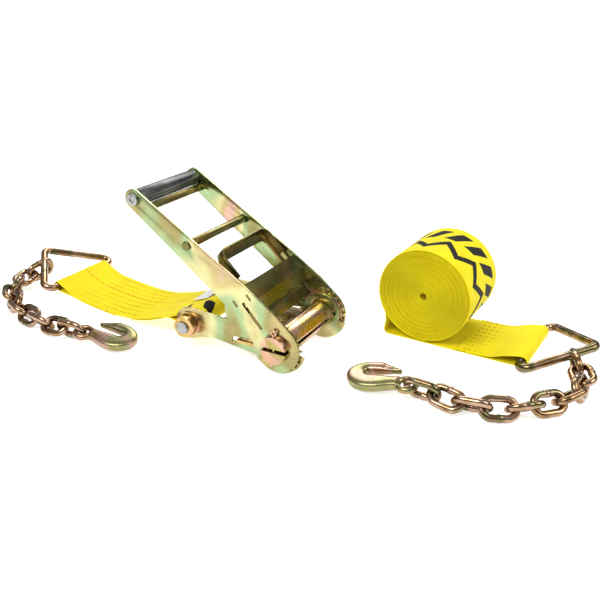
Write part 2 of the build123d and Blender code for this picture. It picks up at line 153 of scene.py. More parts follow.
class Shader:
    """A node material under construction."""

    def __init__(self, name):
        self.material = bpy.data.materials.new(name)
        self.material.use_nodes = True
        self.tree = self.material.node_tree
        self.base = next(n for n in self.tree.nodes if n.type == "BSDF_PRINCIPLED")
        self.place = self.add("ShaderNodeTexCoord").outputs["Object"]

    def add(self, kind, **inputs):
        node = self.tree.nodes.new(kind)
        for key, value in inputs.items():
            self.feed(node.inputs[key], value)
        return node

    def feed(self, socket, value):
        if isinstance(value, bpy.types.NodeSocket):
            self.tree.links.new(value, socket)
        else:
            socket.default_value = value

    def set(self, **values):
        for key, value in values.items():
            self.feed(self.base.inputs[key.replace("_", " ")], value)

    def noise(self, scale, detail=3.0, rough=0.5, vector=None, warp=0.0):
        node = self.add("ShaderNodeTexNoise", Scale=scale, Detail=detail, Roughness=rough,
                        Distortion=warp)
        self.feed(node.inputs["Vector"], vector or self.place)
        return node.outputs["Fac"]

    def ramp(self, value, stops):
        node = self.add("ShaderNodeValToRGB", Fac=value)
        marks = node.color_ramp.elements
        while len(marks) < len(stops):
            marks.new(0.5)
        for mark, (at, shade) in zip(marks, stops):
            mark.position = at
            mark.color = shade if hasattr(shade, "__len__") else (shade, shade, shade, 1)
        node.color_ramp.interpolation = "EASE"
        return node.outputs["Color"]

    def mix(self, factor, a, b, blend="MIX"):
        node = self.tree.nodes.new("ShaderNodeMix")
        node.data_type = "RGBA"
        node.blend_type = blend
        for socket, value in ((node.inputs[0], factor), (node.inputs[6], a), (node.inputs[7], b)):
            self.feed(socket, value)
        return node.outputs[2]

    def math(self, operation, a, b=0.0, c=0.0):
        node = self.tree.nodes.new("ShaderNodeMath")
        node.operation = operation
        for socket, value in zip(node.inputs, (a, b, c)):
            self.feed(socket, value)
        return node.outputs[0]

    def bump(self, height, strength=0.2, distance=0.0003):
        node = self.add("ShaderNodeBump", Height=height, Strength=strength, Distance=distance)
        self.feed(self.base.inputs["Normal"], node.outputs["Normal"])


def chromate(name, tones, scale, rough, depth=0.12, wear=0.25):
    """Yellow chromate over zinc: drifting bands of colour, a fine grain and rubbed patches."""
    s = Shader(name)
    drift = s.noise(scale, 2.0, 0.45, warp=0.6)
    count = len(tones)
    stops = [(0.3 + 0.4 * k / (count - 1), tone) for k, tone in enumerate(tones)]
    shade = s.ramp(drift, stops)
    cloud = s.ramp(s.noise(scale * 3.7, 4.0, 0.6), [(0.3, 0.80), (0.7, 1.0)])
    shade = s.mix(0.8, shade, cloud, "MULTIPLY")
    speck = s.ramp(s.noise(900.0, 2.0, 0.6), [(0.34, 0.72), (0.5, 1.0)])
    shade = s.mix(wear, shade, speck, "MULTIPLY")
    s.set(Base_Color=shade, Metallic=1.0)
    polish = s.math("MULTIPLY_ADD", s.noise(scale * 5, 4.0, 0.6), 0.22, rough - 0.11)
    s.set(Roughness=polish)
    s.bump(s.noise(650.0, 3.0, 0.6), depth, 0.00015)
    return s.material


# The weave, and the places of the printed rows and the tracer thread across it, in metres
RIB_PITCH, PICK_PITCH, ZIG_WIDTH = 0.0021, 0.0014, 0.0042
ZIGZAG_ROW, BLOCK_ROW = (0.0130, 0.0265), (0.057, 0.086)
TRACER, LOOP_ROWS = (0.0425, 0.0437), ((0.020, 0.038), (0.060, 0.082))


def cloth(name, base, dark, marks=None):
    """Polyester webbing: lengthwise ribs crossed by picks, from UV in metres across and along."""
    s = Shader(name)
    uv = s.add("ShaderNodeUVMap")
    uv.uv_map = "cloth"
    parts = s.add("ShaderNodeSeparateXYZ", Vector=uv.outputs["UV"])
    across, along = parts.outputs[0], parts.outputs[1]
    rib = s.math("SINE", s.math("MULTIPLY", across, 2 * math.pi / RIB_PITCH))
    zig = s.math("PINGPONG", across, ZIG_WIDTH)
    pick = s.math("SINE", s.math("MULTIPLY", s.math("ADD", along, zig), 2 * math.pi / PICK_PITCH))
    weave = s.math("MULTIPLY_ADD", pick, 0.35, s.math("MULTIPLY", rib, 0.65))
    soft = s.noise(28.0, 3.0, 0.5)
    shade = s.mix(s.ramp(soft, [(0.3, 0.0), (0.75, 0.55)]), base, dark)
    groove = s.math("MULTIPLY_ADD", weave, 0.07, 0.90)
    grey = s.add("ShaderNodeCombineColor", Red=groove, Green=groove, Blue=groove)
    shade = s.mix(1.0, shade, grey.outputs[0], "MULTIPLY")
    if marks:
        shade = marks(s, shade, across, along)
    s.set(Base_Color=shade, Roughness=0.70, Specular_IOR_Level=0.12)
    s.set(Sheen_Weight=0.05, Sheen_Roughness=0.4)
    fuzz = s.math("MULTIPLY_ADD", s.noise(1500.0, 2.0, 0.6), 0.5, weave)
    s.bump(fuzz, 0.45, 0.0003)
    return s.material


def window(s, value, low, high):
    """1 where value lies between low and high, else 0."""
    return s.math("MULTIPLY", s.math("GREATER_THAN", value, low), s.math("LESS_THAN", value, high))


INK = colour(16, 16, 14)


def roll_marks(s, shade, across, along):
    """A plain printed border pattern, and shade between the rolled layers' edges."""
    from_edge = s.math("MINIMUM", across, s.math("SUBTRACT", WEB_W, across))
    rolled = s.math("LESS_THAN", along, ROLL_END - OUTER_TURN)
    groove = s.math("MULTIPLY", window(s, from_edge, 0.0004, 0.006), rolled)
    shade = s.mix(s.math("MULTIPLY", groove, 0.6), shade, colour(140, 116, 8))
    zig = s.math("MULTIPLY", s.math("PINGPONG", along, 0.021), 1.15)
    zigzag = window(s, s.math("SUBTRACT", across, zig), *ZIGZAG_ROW)
    slant = s.math("MULTIPLY_ADD", across, 0.55, along)
    block = s.math("LESS_THAN", s.math("PINGPONG", slant, 0.014), 0.0082)
    blocks = s.math("MULTIPLY", block, window(s, across, *BLOCK_ROW))
    printed = s.math("MULTIPLY", s.math("MAXIMUM", zigzag, blocks),
                     window(s, along, MARKS_FROM, MARKS_TO))
    worn = s.math("MULTIPLY", printed, s.ramp(s.noise(260.0, 3.0, 0.6), [(0.25, 0.90), (0.45, 1.0)]))
    return s.mix(worn, shade, INK)


def tracer_marks(s, shade, across, along):
    """A red dashed tracer thread, and printed blocks by the ratchet."""
    dash = s.math("LESS_THAN", s.math("PINGPONG", along, 0.006), 0.0045)
    thread = s.math("MULTIPLY", dash, window(s, across, *TRACER))
    shade = s.mix(thread, shade, colour(214, 84, 28))
    near_bolt = window(s, along, LOOP_FROM, LOOP_TO)
    slant = s.math("MULTIPLY_ADD", across, 0.5, along)
    blocks = s.math("LESS_THAN", s.math("PINGPONG", slant, 0.019), 0.0075)
    rows = s.math("MAXIMUM", *(window(s, across, *row) for row in LOOP_ROWS))
    ink = s.math("MULTIPLY", s.math("MULTIPLY", blocks, rows), near_bolt)
    return s.mix(ink, shade, INK)


TAN, KHAKI, GREEN = colour(202, 166, 146), colour(184, 168, 114), colour(156, 176, 128)
PALE, OLIVE = colour(200, 194, 140), colour(150, 140, 90)
plate_zinc = chromate("plate_zinc", [TAN, KHAKI, PALE, GREEN, OLIVE, KHAKI, TAN], 9.0, 0.26)
# Darker olive copy of the chromate: painted shade for the parts in PLATES that take it
shadow_zinc = chromate("shaded_inner_zinc", [colour(142, 122, 68), colour(124, 108, 60), colour(114, 114, 68),
                                      colour(156, 130, 76)], 14.0, 0.28, 0.1)
spool_zinc = chromate("spool_zinc", [colour(178, 142, 76), colour(196, 166, 100), colour(204, 160, 140),
                                     colour(162, 152, 88)], 22.0, 0.26, 0.1)
chain_zinc = chromate("chain_zinc", [colour(118, 88, 62), colour(150, 120, 84), colour(172, 142, 120),
                                     colour(112, 106, 72), colour(130, 98, 72)], 26.0, 0.20, 0.07)
hook_zinc = chromate("hook_zinc", [colour(160, 126, 96), colour(156, 136, 92), colour(136, 134, 90),
                                   colour(172, 140, 122), colour(150, 122, 84)], 18.0, 0.30, 0.10)
bright_zinc = chromate("bright_zinc", [colour(160, 160, 156), colour(144, 146, 146), colour(172, 168, 160)],
                       30.0, 0.22, 0.1)
spring_steel = chromate("spring_steel", [colour(150, 140, 112), colour(176, 162, 124)], 60.0, 0.3, 0.05)


def painted_grip():
    s = Shader("grip_grey")
    patch = s.ramp(s.noise(40.0, 4.0, 0.6), [(0.3, colour(66, 68, 66)), (0.7, colour(92, 94, 90))])
    s.set(Base_Color=patch, Metallic=0.85)
    s.set(Roughness=s.math("MULTIPLY_ADD", s.noise(120.0, 3.0, 0.6), 0.2, 0.22))
    s.bump(s.noise(420.0, 3.0, 0.6), 0.08, 0.0002)
    return s.material


grip_grey = painted_grip()


def printed_tag():
    """White woven tag with rules and short grey dashes, no letters."""
    s = Shader("tag_white")
    uv = s.add("ShaderNodeUVMap")
    uv.uv_map = "cloth"
    parts = s.add("ShaderNodeSeparateXYZ", Vector=uv.outputs["UV"])
    across, along = parts.outputs[0], parts.outputs[1]
    row = s.math("LESS_THAN", s.math("PINGPONG", along, 0.0022), 0.0007)
    words = s.math("GREATER_THAN", s.noise(1.0, 1.0, 0.5, vector=s.add(
        "ShaderNodeCombineXYZ", X=s.math("MULTIPLY", across, 420.0),
        Y=s.math("SNAP", along, 0.0044)).outputs[0]), 0.44)
    body = s.math("MULTIPLY", window(s, across, 0.003, 0.040), s.math("MULTIPLY", row, words))
    shade = s.mix(body, colour(236, 236, 232), colour(108, 110, 116))
    s.set(Base_Color=shade, Roughness=0.55)
    s.bump(s.noise(1800.0, 2.0, 0.6), 0.2, 0.0001)
    return s.material


# ---------------------------------------------------------------- mesh helpers
def new_piece(name, mesh, body, material, replaced=()):
    obj = bpy.data.objects.new(name, mesh)
    bpy.context.scene.collection.objects.link(obj)
    mesh.materials.clear()
    mesh.materials.append(material)
    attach(obj, body)
    if replaced:
        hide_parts(*replaced)
    return obj


def mesh_from(bm, name):
    mesh = bpy.data.meshes.new(name)
    bm.to_mesh(mesh)
    bm.free()
    return mesh


def bake_modifiers(obj):
    """Turn the piece's modifiers into plain mesh."""
    dg = bpy.context.evaluated_depsgraph_get()
    mesh = bpy.data.meshes.new_from_object(obj.evaluated_get(dg))
    obj.modifiers.clear()
    obj.data = mesh


def smooth_by_angle(mesh, degrees):
    mesh.shade_smooth()
    mesh.set_sharp_from_angle(angle=math.radians(degrees))


def welded_copy(node, flat=True):
    """The CAD node's mesh with its split corners joined, and its flats cleared of needless edges."""
    bm = bmesh.new()
    bm.from_mesh(NODES[node].data)
    bmesh.ops.remove_doubles(bm, verts=bm.verts, dist=2e-6)
    if flat:
        bmesh.ops.dissolve_limit(bm, angle_limit=math.radians(0.6), verts=bm.verts, edges=bm.edges)
    return mesh_from(bm, node + "_fine")


def body_of_node(node):
    return NODES[node]["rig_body"]


def refined(node, material, edge=0.0005, limit=35):
    """The CAD node again with broken edges, as pressed and cut steel has."""
    mesh = welded_copy(node)
    obj = new_piece(node + "_fine", mesh, body_of_node(node), material, [node])
    bevel = obj.modifiers.new("edge", "BEVEL")
    bevel.width = edge
    bevel.segments = 2
    bevel.limit_method = "ANGLE"
    bevel.angle_limit = math.radians(limit)
    bevel.harden_normals = False
    bake_modifiers(obj)
    smooth_by_angle(obj.data, limit)


def forged(node, material, voxel=0.0008, rounds=34):
    """The CAD node with every edge flowing into the next, as a drop forging has."""
    mesh = welded_copy(node, False)
    obj = new_piece(node + "_forged", mesh, body_of_node(node), material, [node])
    remesh = obj.modifiers.new("voxel", "REMESH")
    remesh.mode = "VOXEL"
    remesh.voxel_size = voxel
    soften = obj.modifiers.new("soften", "SMOOTH")
    soften.factor = 0.5
    soften.iterations = rounds
    bake_modifiers(obj)
    crown(obj.data, node)
    obj.data.shade_smooth()


def crown(mesh, node, reach=0.0075, least=0.5):
    """Round a forging's flat faces over towards its sides.

    reach is how far in from a side the rounding goes; least is what is left of the thickness there.
    """
    centre, _, _, thin = own_frame(node)
    heights = [(v.co - centre).dot(thin) for v in mesh.vertices]
    walls = [v.co - thin * h for v, h in zip(mesh.vertices, heights) if abs(v.normal.dot(thin)) < 0.35]
    tree = kdtree.KDTree(len(walls))
    for k, spot in enumerate(walls):
        tree.insert(spot, k)
    tree.balance()
    moves = []
    for v, h in zip(mesh.vertices, heights):
        away = min(tree.find(v.co - thin * h)[2] / reach, 1.0)
        keep = least + (1 - least) * math.sqrt(1 - (1 - away) ** 2)
        moves.append(thin * (h * (keep - 1)))
    for v, move in zip(mesh.vertices, moves):
        v.co += move


def own_frame(node):
    """Middle, long, width and thin directions of a CAD node, from its own points."""
    co = np.array([v.co for v in NODES[node].data.vertices], float)
    tidy = np.unique(np.round(co, 6), axis=0)
    mid = tidy.mean(0)
    _, vectors = np.linalg.eigh(np.cov((tidy - mid).T))
    thin, wide, long = (Vector(vectors[:, k]) for k in range(3))
    along = (tidy - mid) @ np.array(long)
    across = (tidy - mid) @ np.array(wide)
    off = (tidy - mid) @ np.array(thin)
    centre = Vector(mid) + long * (along.max() + along.min()) / 2
    centre += wide * (across.max() + across.min()) / 2 + thin * (off.max() + off.min()) / 2
    if long.cross(wide).dot(thin) < 0:
        thin = -thin
    return centre, long, wide, thin


def tube(name, points, tangents, radii, sides=20):
    """Closed tube through the points, with one radius for each."""
    bm = bmesh.new()
    count = len(points)
    rings = []
    normal = tangents[0].orthogonal().normalized()
    for k in range(count):
        t = tangents[k].normalized()
        normal = (normal - t * normal.dot(t)).normalized()
        side = t.cross(normal)
        rings.append([bm.verts.new(points[k] + radii[k] * (normal * math.cos(a) + side * math.sin(a)))
                      for a in (2 * math.pi * j / sides for j in range(sides))])
    first = (rings[0][0].co - points[0]).normalized()
    way = tangents[0].normalized()
    carried = (normal - way * normal.dot(way)).normalized()
    twist = math.atan2(carried.cross(first).dot(way), carried.dot(first))
    shift = round(twist / (2 * math.pi / sides))
    for k in range(count):
        a, b = rings[k], rings[(k + 1) % count]
        turn = shift if k == count - 1 else 0
        for j in range(sides):
            bm.faces.new((a[j], a[(j + 1) % sides], b[(j + 1 - turn) % sides], b[(j - turn) % sides]))
    bmesh.ops.recalc_face_normals(bm, faces=bm.faces)
    mesh = mesh_from(bm, name)
    mesh.shade_smooth()
    return mesh


# ---------------------------------------------------------------- chain links
SIDE_STEPS, BEND_STEPS = 14, 26
BEND_THINNING = -0.012        # the wire is a little thinner round the bends
WELD_SWELL, WELD_HALF = 0.13, 0.0020
WELD_NECK, NECK_AT, NECK_HALF = 0.03, 0.0040, 0.0012


def weld_swell(x):
    """How much thicker than the wire the welded side is, x from the middle of the weld."""
    swell = WELD_SWELL * math.exp(-((x / WELD_HALF) ** 2))
    return swell - WELD_NECK * math.exp(-(((abs(x) - NECK_AT) / NECK_HALF) ** 2))


def link_mesh(seed):
    """Link along X with width Y: round wire, a swollen weld on one side, slightly thinner bends."""
    bend = LINK_INNER_W / 2 + WIRE_R
    half = LINK_PITCH / 2 + WIRE_R - bend
    rng = random.Random(seed)
    points, tangents, radii = [], [], []

    def put(x, y, tx, ty, swell):
        points.append(Vector((x, y, 0)))
        tangents.append(Vector((tx, ty, 0)))
        radii.append(WIRE_R * (1 + swell))

    def put_bend(middle, start):
        for k in range(BEND_STEPS):
            a = start + math.pi * k / BEND_STEPS
            put(middle + bend * math.cos(a), bend * math.sin(a), -math.sin(a), math.cos(a), BEND_THINNING)

    for k in range(SIDE_STEPS):
        x = half - 2 * half * k / SIDE_STEPS
        put(x, bend, -1, 0, weld_swell(x))
    put_bend(-half, math.pi / 2)
    for k in range(SIDE_STEPS):
        put(-half + 2 * half * k / SIDE_STEPS, -bend, 1, 0, 0.006 * rng.random())
    put_bend(half, -math.pi / 2)
    return tube("link_round", points, tangents, radii, 20)


def place_links():
    for side in ("left", "right"):
        for k in range(1, 11):
            node = f"link_{side}_{k:02d}"
            centre, long, wide, thin = own_frame(node)
            flip = -1 if (k * 7 + len(side)) % 3 == 0 else 1
            mesh = link_mesh(k)
            turn = Matrix((long, wide * flip, thin * flip)).transposed().to_4x4()
            mesh.transform(Matrix.Translation(centre) @ turn)
            new_piece(node + "_welded", mesh, body_of_node(node), chain_zinc, [node])


# ---------------------------------------------------------------- delta rings
CORNER_STEPS, LEG_STEPS = 18, 24


def ring_mesh(name, joint):
    """Round rod bent to a triangle with its base on the joint's axis."""
    base_dir = joint_axis(joint)
    origin = joint_place(joint)
    co = np.array([v.co for v in NODES[name].data.vertices], float)
    middle = Vector((co.min(0) + co.max(0)) / 2)
    out = middle - origin
    out = (out - base_dir * out.dot(base_dir)).normalized()
    thin = out.cross(base_dir).normalized()
    corners = [Vector((0, RING_HALF_BASE)), Vector((RING_HEIGHT, 0)), Vector((0, -RING_HALF_BASE))]
    points, tangents = [], []
    for k in range(3):
        before, here, after = corners[k - 1], corners[k], corners[(k + 1) % 3]
        d_in, d_out = (here - before).normalized(), (after - here).normalized()
        turn = math.acos(d_in.dot(d_out))
        cut = RING_BEND * math.tan(turn / 2)
        start = here - d_in * cut
        side = 1 if d_in.x * d_out.y - d_in.y * d_out.x > 0 else -1
        normal = Vector((-d_in.y, d_in.x)) * side
        centre = start + normal * RING_BEND
        for j in range(CORNER_STEPS + 1):
            a = turn * j / CORNER_STEPS
            spoke = -normal * math.cos(a) + d_in * math.sin(a)
            points.append(centre + spoke * RING_BEND)
            tangents.append(d_in * math.cos(a) + normal * math.sin(a))
        nxt = (corners[(k + 2) % 3] - after).normalized()
        cut_next = RING_BEND * math.tan(math.acos(d_out.dot(nxt)) / 2)
        leg_from, leg_to = points[-1], after - d_out * cut_next
        for j in range(1, LEG_STEPS):
            points.append(leg_from.lerp(leg_to, j / LEG_STEPS))
            tangents.append(d_out)
    spots = [origin + out * p.x + base_dir * p.y for p in points]
    ways = [(out * t.x + base_dir * t.y).normalized() for t in tangents]
    weld = [1 + 0.07 * math.exp(-(((p.y + 0.022) / 0.0022) ** 2)) * (abs(p.x) < 1e-4) for p in points]
    return tube(name + "_rod", spots, ways, [RING_R * w for w in weld], 24)


def place_rings():
    for side in ("left", "right"):
        node = "ring_" + side
        mesh = ring_mesh(node, node + "_swing")
        new_piece(node + "_bent", mesh, body_of_node(node), chain_zinc, [node])


# ---------------------------------------------------------------- webbing
def resample(points, step):
    """Centripetal spline through the points, at even steps."""
    pts = [np.array(p, float) for p in points]
    pts = [2 * pts[0] - pts[1]] + pts + [2 * pts[-1] - pts[-2]]
    dense = []
    for p0, p1, p2, p3 in zip(pts, pts[1:], pts[2:], pts[3:]):
        for t in np.linspace(0, 1, 24, endpoint=False):
            dense.append(0.5 * (2 * p1 + (p2 - p0) * t + (2 * p0 - 5 * p1 + 4 * p2 - p3) * t * t
                                + (3 * p1 - 3 * p2 + p3 - p0) * t ** 3))
    dense.append(pts[-2])
    dense = np.array(dense)
    gaps = np.r_[0, np.cumsum(np.linalg.norm(np.diff(dense, axis=0), axis=1))]
    at = np.linspace(0, gaps[-1], max(2, round(gaps[-1] / step) + 1))
    return np.c_[np.interp(at, gaps, dense[:, 0]), np.interp(at, gaps, dense[:, 1])]


def web_strip(name, line, across, wave):
    """Closed strip along a line of points, its width along the across direction.

    wave(length along, part of the width) shifts each point a little.
    """
    count = len(line)
    lengths = [0.0]
    for a, b in zip(line, line[1:]):
        lengths.append(lengths[-1] + (b - a).length)
    places = [0.0, 0.004, 0.014]
    places += [0.03 + 0.94 * k / ROWS_ACROSS for k in range(ROWS_ACROSS + 1)]
    places += [0.986, 0.996, 1.0]
    edge = [0.22, 0.62, 0.92] + [1.0] * (len(places) - 6) + [0.92, 0.62, 0.22]
    bm = bmesh.new()
    uv = bm.loops.layers.uv.new("cloth")
    top, low = [], []
    for k in range(count):
        tangent = (line[min(k + 1, count - 1)] - line[max(k - 1, 0)]).normalized()
        normal = tangent.cross(across).normalized()
        row_top, row_low = [], []
        for u, e in zip(places, edge):
            spot = line[k] + across * ((u - 0.5) * WEB_W) + wave(lengths[k], u)
            row_top.append(bm.verts.new(spot + normal * (YARN_T / 2 * e)))
            row_low.append(bm.verts.new(spot - normal * (YARN_T / 2 * e)))
        top.append(row_top)
        low.append(row_low)

    def face(corners):
        made = bm.faces.new([v for v, _, _ in corners])
        for loop, (_, u, v) in zip(made.loops, corners):
            loop[uv].uv = (u * WEB_W, v)

    n = len(places)
    for k in range(count - 1):
        a, b = lengths[k], lengths[k + 1]
        for j in range(n - 1):
            p, q = places[j], places[j + 1]
            face([(top[k][j], p, a), (top[k + 1][j], p, b),
                  (top[k + 1][j + 1], q, b), (top[k][j + 1], q, a)])
            face([(low[k][j], p, a), (low[k][j + 1], q, a),
                  (low[k + 1][j + 1], q, b), (low[k + 1][j], p, b)])
        for j, p in ((0, 0.0), (n - 1, 1.0)):
            ring = [(top[k][j], p, a), (low[k][j], p, a), (low[k + 1][j], p, b), (top[k + 1][j], p, b)]
            face(ring if j == 0 else ring[::-1])
    for k in (0, count - 1):
        for j in range(n - 1):
            p, q, a = places[j], places[j + 1], lengths[k]
            ring = [(top[k][j], p, a), (top[k][j + 1], q, a), (low[k][j + 1], q, a), (low[k][j], p, a)]
            face(ring if k == 0 else ring[::-1])
    bmesh.ops.recalc_face_normals(bm, faces=bm.faces)
    mesh = mesh_from(bm, name)
    smooth_by_angle(mesh, 50)
    return mesh


def stitch_row(bm, spots, thread=0.00055, length=0.0042, gap=0.0018):
    """Short raised threads along a row of spots that lie level side by side."""
    travelled = 0.0
    for a, b in zip(spots, spots[1:]):
        travelled += (b - a).length
        if travelled < length + gap:
            continue
        travelled = 0.0
        d = (b - a).normalized()
        side = d.cross(UP).normalized()
        rings = []
        for f, s in ((-1.0, 0.15), (-0.7, 0.8), (0.0, 1.0), (0.7, 0.8), (1.0, 0.15)):
            centre = b + d * (length / 2 * f) + UP * (thread * 0.6 * (s - 0.4))
            rings.append([bm.verts.new(centre + thread * s * (side * math.cos(t) + UP * math.sin(t)))
                          for t in (2 * math.pi * j / 6 for j in range(6))])
        for r, q in zip(rings, rings[1:]):
            for j in range(6):
                bm.faces.new((r[j], r[(j + 1) % 6], q[(j + 1) % 6], q[j]))
        bm.faces.new(rings[0][::-1])
        bm.faces.new(rings[-1])


# ---- the long strap: one spiral, then the tail under it and the fold round the ring
def roll_point(x, z):
    """A point of the roll's section: x from its axis along the tail, z above the floor."""
    return Vector((ROLL_MID.x, ROLL_MID.y, 0)) + RUN * x + UP * (FLOOR_Z + z)


def lengths_along(line):
    return np.r_[0, np.cumsum(np.linalg.norm(np.diff(line, axis=0), axis=1))]


def right_fold():
    """The ring's axis in the roll's section."""
    return (FOLD_RIGHT - roll_point(0, 0)).dot(RUN), FOLD_RIGHT.z - FLOOR_Z


def roll_spiral():
    """The rolled part, from the hole in the middle to where the outer layer leaves the roll."""
    centre_z = ROLL_MID.z - FLOOR_Z
    outer = ROLL_R - WEB_T / 2 - PLAY
    pitch = (outer - ROLL_START_R) / ROLL_LAYERS
    line = []
    for k in range(int((ROLL_LAYERS + ROLL_LEAVES_AT) * ROLL_TURN_STEPS) + 1):
        a = 2 * math.pi * k / ROLL_TURN_STEPS
        r = ROLL_START_R + pitch * min(k / ROLL_TURN_STEPS, ROLL_LAYERS)
        loose = 1.0 + 0.004 * math.sin(2 * a + 1.0) * (r / ROLL_R)
        line.append((r * loose * math.cos(a), centre_z + r * math.sin(a)))
    return line


def long_strap_line():
    """The spiral, the turn under the roll, the tail, the fold round the ring and the sewn-down end."""
    spiral = roll_spiral()
    low = WEB_T / 2 + HAIR
    sewn = 3 * WEB_T / 2
    fold_x, fold_z = right_fold()
    wrap = RING_R + WEB_T / 2 + PLAY
    under_roll = [spiral[-1], (-0.0496, 0.0190), (-0.0512, 0.0090), (-0.0500, 0.0032), (-0.0460, 0.0012),
                  (-0.0410, low)]
    tail = [(x, low) for x in (-0.03, 0.0, 0.04, 0.08, fold_x - 0.02)]
    tail.append((fold_x - 0.006, fold_z - wrap + 0.0002))
    fold = [(fold_x + wrap * math.sin(a), fold_z - wrap * math.cos(a))
            for a in np.linspace(0, math.pi, 13)]
    back = [(fold_x - 0.008, fold_z + wrap - 0.0008), (fold_x - 0.022, fold_z + 0.0022),
            (fold_x - 0.040, sewn + 0.0016), (fold_x - 0.060, sewn + 0.0005),
            (fold_x - 0.082, sewn + 0.0004)]
    rest = resample(under_roll + tail + fold + back, STRIP_STEP)
    return np.vstack([np.array(spiral)[:-1], rest]), len(spiral)


LINE, SPIRAL_COUNT = long_strap_line()
SEGMENTS = lengths_along(LINE)
OUTER_TURN = 2 * math.pi * ROLL_R
ROLL_END = float(SEGMENTS[SPIRAL_COUNT - 1])
MARKS_FROM, MARKS_TO = ROLL_END - 0.76 * OUTER_TURN, ROLL_END - 0.02 * OUTER_TURN


def long_wave(s, u):
    """Edges of the rolled layers don't line up exactly, and the tail isn't quite flat."""
    shift = noise.noise(Vector((s * 2.2, 3.1, 0.5))) * 0.0014
    on_tail = min(1.0, max((s - ROLL_END - 0.09) / 0.05, 0.0))
    ripple = 0.0006 * on_tail * abs(noise.noise(Vector((s * 22, u * 2.0, 1.7))))
    return AWAY * shift + UP * ripple


def build_long_strap():
    points = [roll_point(x, z) for x, z in LINE]
    yellow = cloth("webbing_printed", colour(238, 222, 18), colour(222, 200, 12), roll_marks)
    mesh = web_strip("long_strap", points, AWAY, long_wave)
    strap = new_piece("long_strap", mesh, "long_strap", yellow, ["strap_roll", "strap_tail"])
    bm = bmesh.new()
    fold_x, _ = right_fold()
    stitch_z = 2 * WEB_T + PLAY + HAIR
    for u in np.linspace(0.06, 0.94, 9):
        spots = [roll_point(x, stitch_z) + AWAY * ((u - 0.5) * WEB_W)
                 for x in np.arange(fold_x - 0.080, fold_x - 0.046, STITCH_STEP)]
        stitch_row(bm, spots)
    mesh = mesh_from(bm, "tail_stitches")
    mesh.shade_smooth()
    new_piece("tail_stitches", mesh, "long_strap", THREAD)


# ---- the short strap: one closed band round the sleeve and round the left ring
def on_floor(v):
    return Vector((v.x, v.y, 0))


KNEE = on_floor(BOLT) + TO_BOLT * STRAIGHT          # where the short strap turns towards the ring
TO_FOLD = on_floor(FOLD_LEFT) - KNEE
REACH = STRAIGHT + TO_FOLD.length


def short_point(x, z):
    """x from the bolt towards the ring, first square to the bolt and then towards the fold."""
    if x <= STRAIGHT:
        spot = on_floor(BOLT) + TO_BOLT * x
    else:
        spot = KNEE + TO_FOLD.normalized() * (x - STRAIGHT)
    return spot + UP * (FLOOR_Z + z)


def short_strap_line():
    """Under layer, round the sleeve, over layer, round the ring and back under, in x and z."""
    bolt_z = BOLT.z - FLOOR_Z
    fold_z = FOLD_LEFT.z - FLOOR_Z
    wrap = SLEEVE_R + WEB_T / 2 + SLEEVE_PLAY
    loop = RING_R + WEB_T / 2 + PLAY
    gap = WEB_T / 2 + HAIR
    middle = [(0.036, 0.0328), (0.055, 0.0262), (0.075, 0.0183), (0.095, 0.0122), (0.115, 0.0075),
              (0.150, 0.0030), (REACH - 0.110, 0.0024), (REACH - 0.066, 0.0027), (REACH - 0.036, 0.0052)]
    under = [(x, z - gap) for x, z in middle]
    over = [(x, z + gap) for x, z in middle]
    sleeve = [(wrap * math.cos(a), bolt_z + wrap * math.sin(a))
              for a in np.linspace(math.radians(-75), math.radians(-295), 20)]
    ring = [(REACH + loop * math.cos(a), fold_z + loop * math.sin(a))
            for a in np.linspace(math.radians(110), math.radians(-110), 14)]
    half = len(under) // 2
    return under[half::-1] + sleeve + over + ring + under[:half:-1]


SHORT_LINE = resample(short_strap_line(), STRIP_STEP)
SHORT_SEGMENTS = lengths_along(SHORT_LINE)


def loop_range():
    """Where along the strap the part near the bolt lies."""
    near = [s for s, (x, z) in zip(SHORT_SEGMENTS, SHORT_LINE) if x < 0.024]
    return min(near) + 0.012, max(near) + 0.010


LOOP_FROM, LOOP_TO = loop_range()


def short_wave(s, u):
    """The strap lifts and dips a little between the bolt and the floor."""
    x = np.interp(s, SHORT_SEGMENTS, SHORT_LINE[:, 0])
    free = math.exp(-(((x - 0.11) / 0.055) ** 2))
    lift = 0.0012 * free * noise.noise(Vector((x * 18, u * 2.4, 4.0)))
    return UP * max(lift, -0.0006)


def build_short_strap():
    points = [short_point(x, z) for x, z in SHORT_LINE]
    yellow = cloth("webbing_traced", colour(238, 220, 20), colour(224, 198, 14), tracer_marks)
    mesh = web_strip("short_strap_web", points, NEAR, short_wave)
    strap = new_piece("short_strap_web", mesh, "short_strap", yellow, ["short_strap"])
    top = {}
    for x, z in SHORT_LINE:
        if 0.060 < x < REACH - 0.042:
            key = round(x, 3)
            top[key] = max(top.get(key, -1.0), z)
    high = [(x, z) for x, z in sorted(top.items()) if z > 0.0024]
    rail_x, rail_z = zip(*high)
    bm = bmesh.new()
    for u in np.linspace(0.10, 0.90, 8):
        spots = []
        for x in np.arange(rail_x[0], rail_x[-1], STITCH_STEP):
            z = np.interp(x, rail_x, rail_z) + YARN_T / 2
            spots.append(short_point(float(x), float(z)) + NEAR * ((u - 0.5) * WEB_W))
        stitch_row(bm, spots)
    mesh = mesh_from(bm, "strap_stitches")
    mesh.shade_smooth()
    new_piece("strap_stitches", mesh, "short_strap", THREAD)


